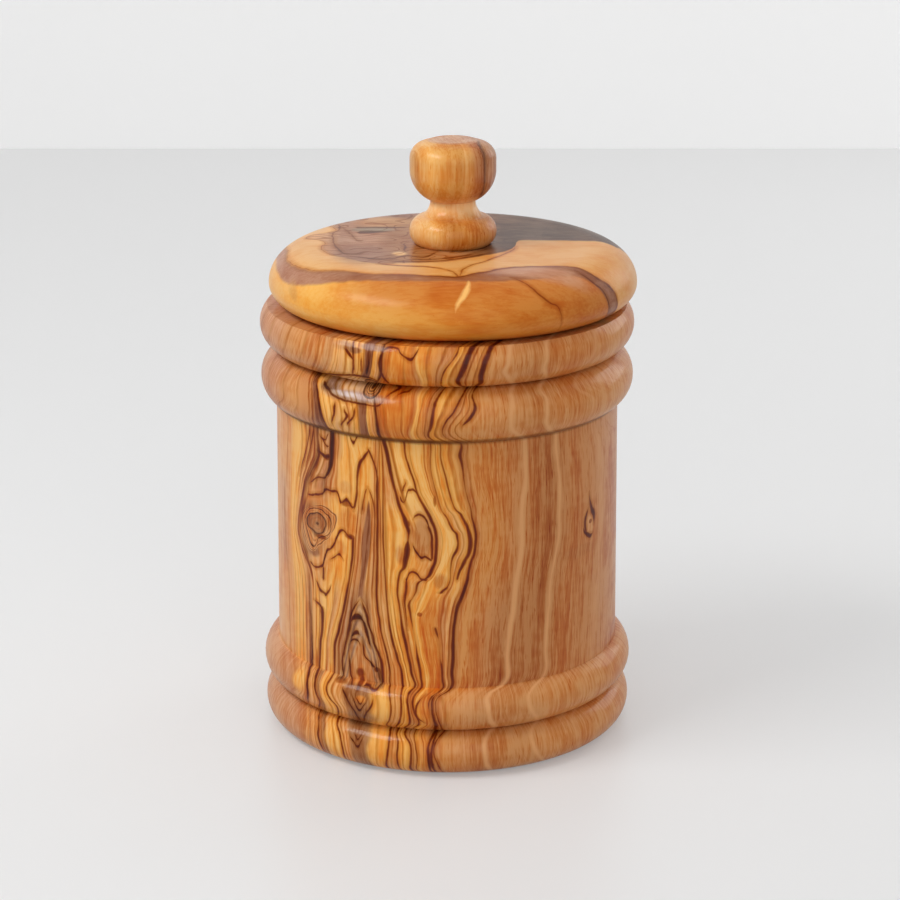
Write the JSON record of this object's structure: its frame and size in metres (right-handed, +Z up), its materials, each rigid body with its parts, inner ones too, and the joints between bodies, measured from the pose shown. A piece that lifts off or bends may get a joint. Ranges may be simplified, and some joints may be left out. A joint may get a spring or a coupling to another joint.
{
  "type": "spice jar",
  "caption": "Turned wooden spice jar with beaded foot and collar, and a loose lift-off lid with a turned knob.",
  "frame": {"origin": "centre of the flat base that the jar stands on, on the jar's turning axis", "axes": "+Z up along the turning axis; -Y towards the side that the picture shows; +X to the right there"},
  "size_m": [0.091, 0.0908, 0.1447],
  "materials": {
    "jar_wood": "satin oiled, strongly figured, upright grain",
    "lid_wood": "satin oiled, figured, grain lying flat across the lid",
    "knob_wood": "satin oiled, upright grain"
  },
  "bodies": {
    "jar": {"jar_body": "jar_wood"},
    "lid": {"lid": "lid_wood", "knob": "knob_wood"}
  },
  "joints": [
    {"name": "lid_lift", "type": "slide", "parent": "jar", "child": "lid", "axis": [0, 0, 1], "range_m": [0, 0.1]}
  ]
}
